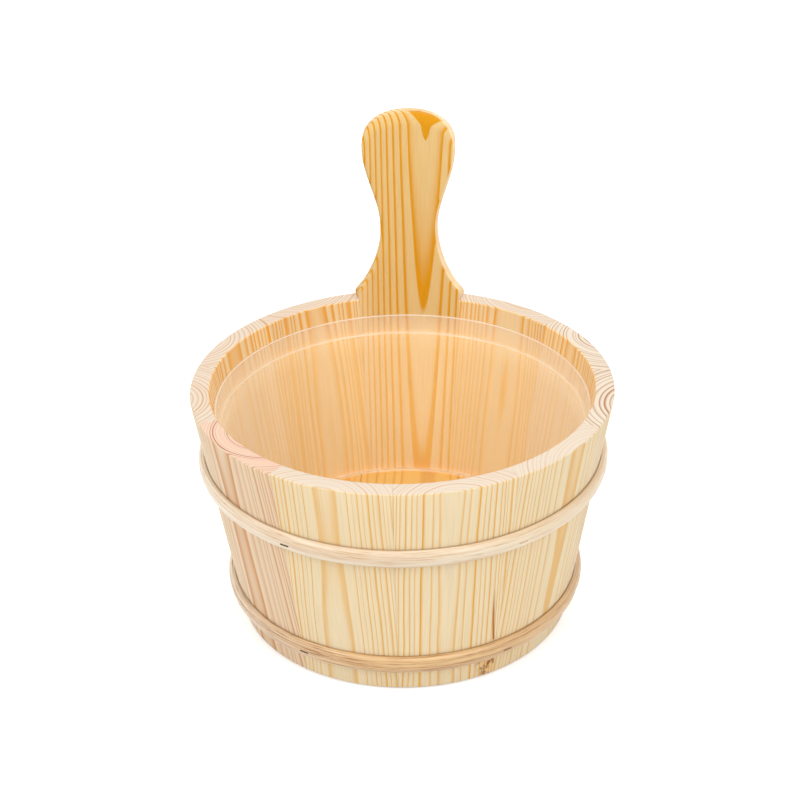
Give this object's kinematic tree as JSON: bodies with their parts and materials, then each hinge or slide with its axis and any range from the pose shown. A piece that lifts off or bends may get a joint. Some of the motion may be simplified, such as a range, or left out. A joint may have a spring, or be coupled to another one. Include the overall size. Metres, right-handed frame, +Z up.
{
  "type": "sauna bucket",
  "caption": "Coopered pine sauna bucket with one long stave shaped into a standing handle, two bent wooden hoops and a loose clear plastic liner that holds the water and lifts out.",
  "frame": {"origin": "middle of the part's bounding box, on the surface that the bucket stands on; the tub's axis is 9.0 mm towards -Y", "axes": "+Z up along the tub's axis, +Y towards the handle, +X to the right when facing the handle from the front"},
  "size_m": [0.2494, 0.2678, 0.2661],
  "materials": {
    "pine": "turned and sanded, unfinished",
    "handle_pine": "sanded, unfinished",
    "bottom_pine": "planed, unfinished",
    "bent_wood": "split and scraped, unfinished",
    "staple_steel": "dark bare wire",
    "clear_plastic": "clear, slightly hazy"
  },
  "bodies": {
    "bucket": {"handle_stave": "handle_pine", "stave_01": "pine", "stave_02": "pine", "stave_03": "pine", "stave_04": "pine", "stave_05": "pine", "stave_06": "pine", "stave_07": "pine", "stave_08": "pine", "stave_09": "pine", "stave_10": "pine", "bottom_board_1": "bottom_pine", "bottom_board_2": "bottom_pine", "bottom_board_3": "bottom_pine", "upper_hoop": "bent_wood", "lower_hoop": "bent_wood", "upper_staple_1": "staple_steel", "upper_staple_2": "staple_steel", "upper_staple_3": "staple_steel", "upper_staple_4": "staple_steel", "upper_staple_5": "staple_steel", "upper_staple_6": "staple_steel", "lower_staple_1": "staple_steel", "lower_staple_2": "staple_steel", "lower_staple_3": "staple_steel", "lower_staple_4": "staple_steel", "lower_staple_5": "staple_steel", "lower_staple_6": "staple_steel"},
    "liner": {"liner": "clear_plastic"}
  },
  "joints": [
    {"name": "liner_lift", "type": "slide", "parent": "bucket", "child": "liner", "axis": [0, 0, 1], "range_m": [0, 0.16]}
  ]
}
